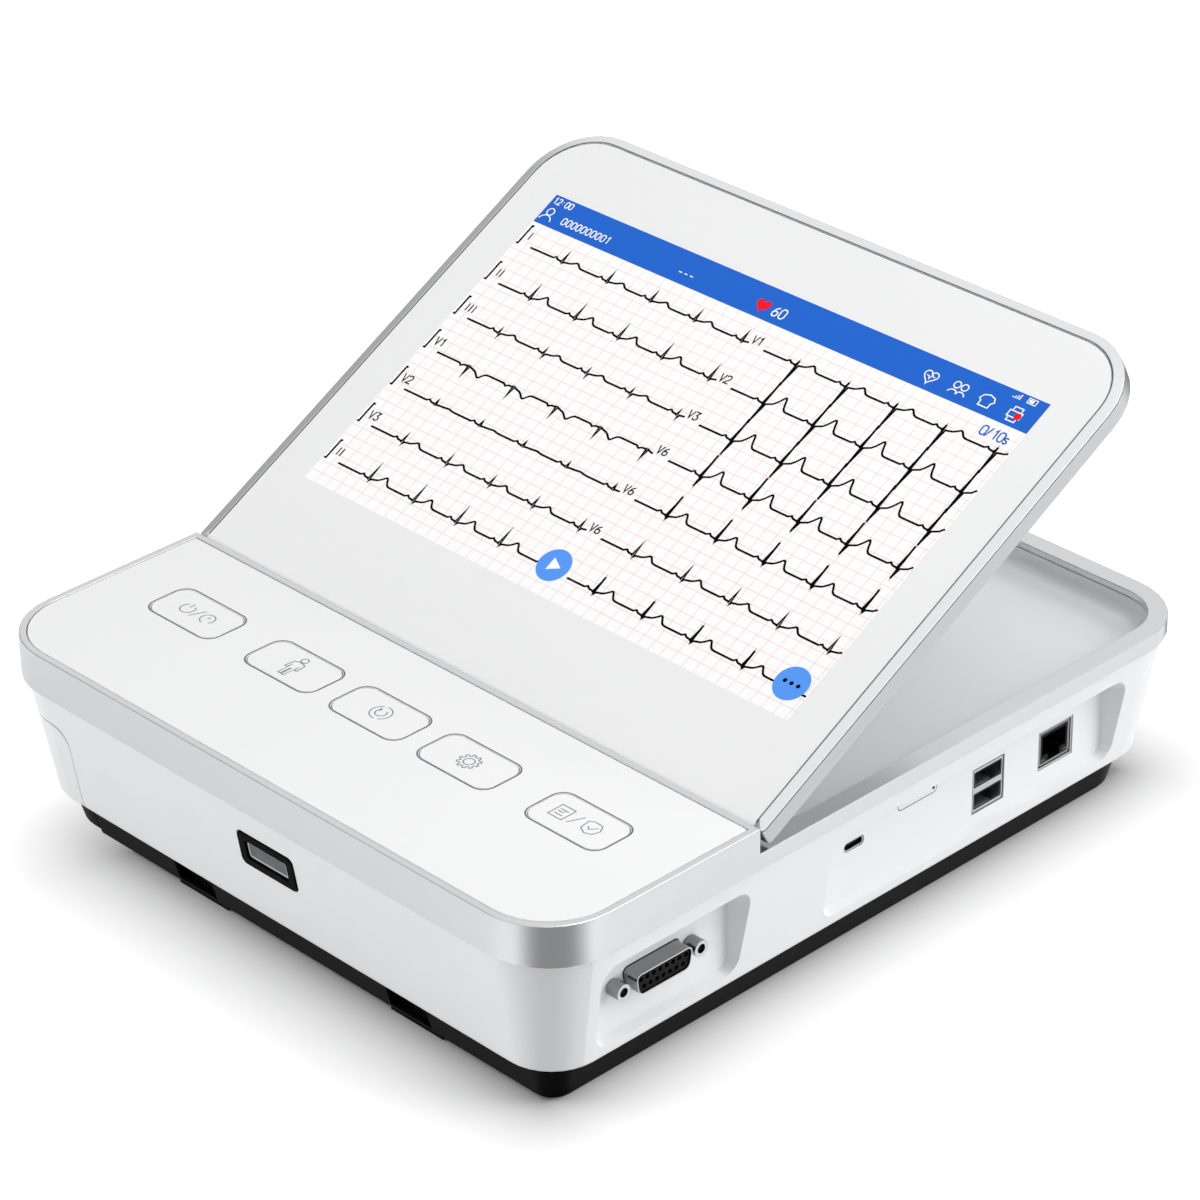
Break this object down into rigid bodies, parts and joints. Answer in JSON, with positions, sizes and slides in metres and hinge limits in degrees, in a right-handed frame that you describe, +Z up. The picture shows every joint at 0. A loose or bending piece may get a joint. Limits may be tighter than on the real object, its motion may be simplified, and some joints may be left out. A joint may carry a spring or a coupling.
{
  "type": "portable ecg machine",
  "caption": "Portable electrocardiograph with a tilting touch screen over a shallow tray, a deck of keys, side sockets and a sliding thermal paper drawer.",
  "frame": {"origin": "on the table, under the middle of the machine", "axes": "+X to the socket side, +Y from the key deck to the back, +Z up"},
  "size_m": [0.266, 0.3, 0.1684],
  "materials": {
    "base_black": "fine matt black moulding",
    "housing_white": "satin white moulding",
    "frame_silver": "satin silver with bright edges",
    "tray_silver": "smooth silver",
    "deck_white": "smooth white",
    "key_white": "smooth white",
    "rubber_black": "matt",
    "board_green": "solder mask",
    "gloss_black": "gloss black",
    "scanner_glass": "dark tinted window",
    "inner_black": "matt black",
    "battery_blue": "shrink sleeve",
    "steel_bare": "bare plated steel",
    "chrome_bright": "bright plating",
    "ceramic_dark": "glazed dark ceramic",
    "nylon_cream": "natural nylon",
    "paper_white": "uncoated thermal paper",
    "lid_silver": "fine brushed",
    "bezel_silver": "satin, bright inner edge",
    "screen_grey": "pale printed cover glass, semi gloss",
    "display_face": "display laminate"
  },
  "bodies": {
    "body": {"base_pan": "base_black", "lower_housing": "housing_white", "upper_frame": "frame_silver", "tray_basin": "tray_silver", "deck_panel": "deck_white", "keypad_mat": "rubber_black", "key_board": "board_green", "scanner_bezel": "gloss_black", "scanner_window": "scanner_glass", "scanner_module": "inner_black", "speaker": "inner_black", "main_board": "board_green", "power_board": "board_green", "battery_pack": "battery_blue", "battery_door": "base_black", "power_inlet": "inner_black", "earth_post": "steel_bare", "rubber_foot_1": "rubber_black", "rubber_foot_2": "rubber_black", "rubber_foot_3": "rubber_black", "rubber_foot_4": "rubber_black", "io_board": "board_green", "patient_socket_shell": "chrome_bright", "patient_socket_core": "inner_black", "jack_screw_front": "chrome_bright", "jack_screw_rear": "chrome_bright", "usb_c_socket": "steel_bare", "card_reader": "inner_black", "usb_a_shell": "steel_bare", "usb_a_core": "inner_black", "network_socket_shell": "steel_bare", "network_socket_core": "inner_black", "feed_motor": "steel_bare", "print_head": "ceramic_dark", "print_head_bracket": "steel_bare", "drawer_rail_front": "nylon_cream", "drawer_rail_rear": "nylon_cream", "base_hinge_leaf_left": "steel_bare", "base_hinge_leaf_right": "steel_bare"},
    "screen": {"screen_back_shell": "lid_silver", "screen_bezel": "bezel_silver", "screen_glass": "screen_grey", "display_panel": "display_face", "lid_hinge_leaf_left": "steel_bare", "lid_hinge_leaf_right": "steel_bare", "hinge_pin_left": "steel_bare", "hinge_pin_right": "steel_bare"},
    "drawer": {"paper_tray": "nylon_cream", "drawer_front": "housing_white", "drawer_foot_strip": "base_black", "paper_pack": "paper_white"},
    "card_tray": {"card_tray": "housing_white"},
    "platen": {"platen_roller": "rubber_black", "platen_gear": "nylon_cream"},
    "pinion": {"motor_pinion": "nylon_cream"},
    "key_power": {"key_power": "key_white"},
    "key_patient": {"key_patient": "key_white"},
    "key_copy": {"key_copy": "key_white"},
    "key_setup": {"key_setup": "key_white"},
    "key_record": {"key_record": "key_white"}
  },
  "joints": [
    {"name": "screen_tilt", "type": "hinge", "parent": "body", "child": "screen", "pos_m": [0, -0.05581, 0.0709], "axis": [1, 0, 0], "range_deg": [-28.5, 31.5]},
    {"name": "power_key_press", "type": "slide", "parent": "body", "child": "key_power", "axis": [0, 0, -1], "range_m": [0, 0.0006], "stiffness_N_per_m": 1500, "springref_m": -0.0006},
    {"name": "patient_key_press", "type": "slide", "parent": "body", "child": "key_patient", "axis": [0, 0, -1], "range_m": [0, 0.0006], "stiffness_N_per_m": 1500, "springref_m": -0.0006},
    {"name": "copy_key_press", "type": "slide", "parent": "body", "child": "key_copy", "axis": [0, 0, -1], "range_m": [0, 0.0006], "stiffness_N_per_m": 1500, "springref_m": -0.0006},
    {"name": "setup_key_press", "type": "slide", "parent": "body", "child": "key_setup", "axis": [0, 0, -1], "range_m": [0, 0.0006], "stiffness_N_per_m": 1500, "springref_m": -0.0006},
    {"name": "record_key_press", "type": "slide", "parent": "body", "child": "key_record", "axis": [0, 0, -1], "range_m": [0, 0.0006], "stiffness_N_per_m": 1500, "springref_m": -0.0006},
    {"name": "card_tray_slide", "type": "slide", "parent": "body", "child": "card_tray", "axis": [1, 0, 0], "range_m": [0, 0.011]},
    {"name": "paper_drawer_slide", "type": "slide", "parent": "body", "child": "drawer", "axis": [-1, 0, 0], "range_m": [0, 0.125]},
    {"name": "platen_spin", "type": "hinge", "parent": "drawer", "child": "platen", "pos_m": [-0.11, 0, 0.0354], "axis": [0, 1, 0], "continuous": true},
    {"name": "pinion_spin", "type": "hinge", "parent": "body", "child": "pinion", "pos_m": [-0.09824, 0.116, 0.02553], "axis": [0, 1, 0], "continuous": true}
  ],
  "couplings": [
    {"joint": "pinion_spin", "follows": "platen_spin", "ratio": -1.5}
  ]
}
